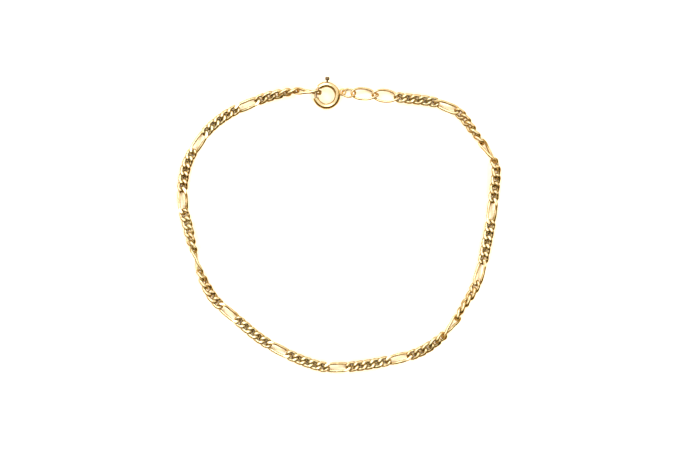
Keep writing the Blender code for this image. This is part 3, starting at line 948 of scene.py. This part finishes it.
def build_bracelet():
    """Draws every piece in the solids' frame."""
    kinds = link_kinds()
    clasp = Clasp()
    order = chain_kinds()
    centre, matrices = lay_chain(kinds, order, clasp)
    hinge = Vector(frame["joints"][0]["pos_m"])
    shift = Matrix.Translation(hinge - Vector((centre.x, centre.y, clasp.height)))
    matrices = [shift @ matrix for matrix in matrices]
    materials = {slot: gold_material(slot + "_worn_and_shaded", *gold) for slot, gold in GOLDS.items()}
    jump_line = circle_line(clasp.jump_radius, JUMP_POINTS)
    jump_rings = wire_rings(jump_line, JUMP_WIRE / 2, WIRE_SIDES)
    jump_place = shift @ clasp.jump_matrix(centre)
    build_chain(kinds, order, matrices, moved(jump_line, jump_place), materials)
    mesh = one_mesh("jump_ring_wire", moved(jump_rings, jump_place), True)
    show(mesh, "jump_ring", "bracelet", "end_link_gold", materials)

    clasp_place = shift @ clasp.frame(centre)
    ring = ring_skin(clasp)
    ring.transform(clasp_place)
    show(ring, "clasp_ring", "bracelet", "clasp_gold", materials)
    bolt = bolt_skin(clasp)
    bolt.transform(clasp_place)
    show(bolt, "clasp_bolt", "bolt", "bolt_gold", materials)


def build_floor():
    """A plain white surface with a faint grain, which the metal mirrors as a duller warm tone: a painted
    darker reflection.
    """
    mesh = bpy.data.meshes.new("floor")
    work = bmesh.new()
    bmesh.ops.create_grid(work, x_segments=1, y_segments=1, size=FLOOR_HALF)
    work.to_mesh(mesh)
    work.free()
    floor = bpy.data.objects.new("floor", mesh)
    bpy.context.scene.collection.objects.link(floor)
    material = bpy.data.materials.new("floor_white")
    material.use_nodes = True
    nodes = Nodes(material.node_tree)
    shader = material.node_tree.nodes["Principled BSDF"]
    place = nodes.add("ShaderNodeTexCoord").outputs["Object"]
    grain = nodes.noise(place, FLOOR_GRAIN_SCALE, CLOUD_DETAIL)
    grain = nodes.spread(grain, *FLOOR_GRAIN_RANGE, 0.0, 1.0)
    white = nodes.mix(grain, *(colour4(tone) for tone in FLOOR_WHITES))
    # The metal mirrors a duller warm floor than the camera sees, a painted darker reflection
    mirrored = nodes.add("ShaderNodeLightPath").outputs["Is Glossy Ray"]
    nodes.set(shader.inputs["Base Color"], nodes.mix(mirrored, white, colour4(FLOOR_MIRRORED)))
    shader.inputs["Roughness"].default_value = FLOOR_ROUGHNESS
    shader.inputs["Specular IOR Level"].default_value = FLOOR_GLOSS
    mesh.materials.append(material)


def build_light():
    """A soft room and two lamps for the metal to mirror, and other lamps that light the table alone."""
    world = bpy.data.worlds.new("room")
    bpy.context.scene.world = world
    world.use_nodes = True
    nodes = Nodes(world.node_tree)
    direction = nodes.add("ShaderNodeTexCoord").outputs["Generated"]
    aside = nodes.add("ShaderNodeVectorMath", {"operation": "DOT_PRODUCT"}, i0=direction, i1=BRIGHT_SIDE)
    share = nodes.spread(aside.outputs["Value"], *ROOM_EDGE, 0.0, 1.0)
    strength = nodes.add(
        "ShaderNodeMapRange", None, i0=share, i1=0.0, i2=1.0, i3=ROOM_DARK, i4=ROOM_BRIGHT
    ).outputs[0]
    tint = nodes.mix(nodes.math("POWER", share, TINT_POWER), colour4(DARK_TINT), colour4(BRIGHT_TINT))
    background = world.node_tree.nodes["Background"]
    nodes.set(background.inputs["Color"], tint)
    nodes.set(background.inputs["Strength"], strength)

    # The room is only mirrored, so the lamps alone decide how dark the table is between the wires
    world.cycles_visibility.diffuse = False

    for name, place, size, power, colour, mirrored in LAMPS:
        lamp = bpy.data.lights.new(name, "AREA")
        lamp.shape = "RECTANGLE"
        lamp.size, lamp.size_y = size
        lamp.energy = power
        lamp.color = colour
        light = bpy.data.objects.new(name, lamp)
        bpy.context.scene.collection.objects.link(light)
        light.location = place
        light.rotation_euler = (-Vector(place)).to_track_quat("-Z", "Y").to_euler()
        light.visible_glossy = mirrored
        light.visible_diffuse = not mirrored


def build_camera():
    """Looks straight down."""
    data = bpy.data.cameras.new("camera")
    data.sensor_width = SENSOR_MM
    data.lens = SENSOR_MM * CAMERA_HEIGHT / VIEW_WIDTH
    data.clip_start = CAMERA_NEAR
    camera = bpy.data.objects.new("camera", data)
    bpy.context.scene.collection.objects.link(camera)
    camera.location = (*CAMERA_OVER, CAMERA_HEIGHT)
    bpy.context.scene.camera = camera


build_bracelet()
build_floor()
build_light()
build_camera()
bpy.context.scene.view_settings.view_transform = "Standard"
